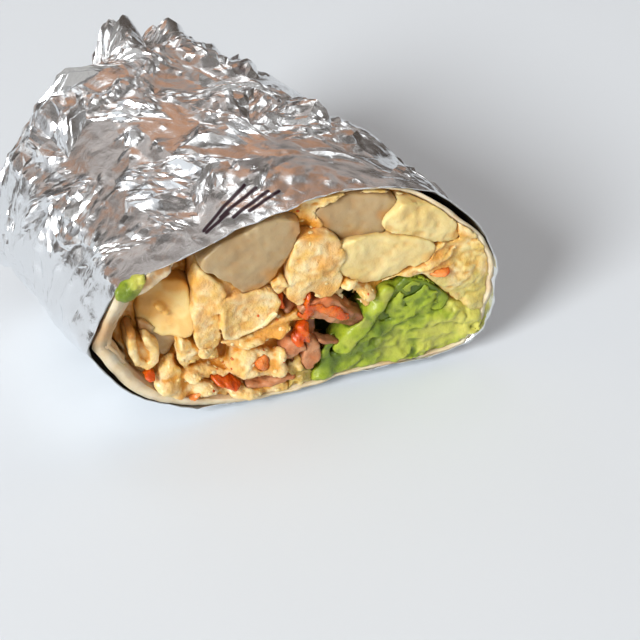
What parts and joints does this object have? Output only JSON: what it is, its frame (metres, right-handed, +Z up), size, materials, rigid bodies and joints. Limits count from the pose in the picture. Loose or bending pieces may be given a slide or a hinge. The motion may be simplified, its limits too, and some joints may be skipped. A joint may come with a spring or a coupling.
{
  "type": "burrito",
  "caption": "Half of a foil-wrapped breakfast burrito cut on the slant, its egg, potato, ham, tomato and avocado filling showing at the cut face.",
  "frame": {"origin": "middle of the rectangle that the part covers on the table, at the table's height", "axes": "+Y along the roll from the cut towards the closed end, +X across the roll, +Z up"},
  "size_m": [0.0814, 0.0916, 0.0612],
  "materials": {
    "foil": "crumpled household foil, bright and mirror-like in its facets",
    "tortilla": "soft baked wheat flour, dull, cream with toasted spots",
    "egg": "moist scrambled egg, softly glossy",
    "potato": "boiled potato, smooth, moist and slightly translucent",
    "golden_potato": "boiled yellow potato, smooth and moist",
    "avocado": "mashed avocado, moist and creamy",
    "ham": "cooked ham, moist",
    "tomato": "cooked tomato and salsa, wet"
  },
  "bodies": {
    "root": {"foil_wrap": "foil", "tortilla": "tortilla", "egg": "egg", "potato_middle": "potato", "potato_top": "potato", "potato_upper_right": "golden_potato", "potato_right": "golden_potato", "potato_left": "potato", "potato_lower_left": "potato", "avocado": "avocado", "avocado_dab": "avocado", "ham_rolled": "ham", "ham_middle": "ham", "ham_low": "ham", "ham_bottom": "ham", "tomato_middle": "tomato", "tomato_centre": "tomato", "tomato_egg": "tomato", "tomato_low": "tomato", "tomato_bottom": "tomato", "tomato_left": "tomato", "tomato_right": "tomato"}
  },
  "joints": []
}
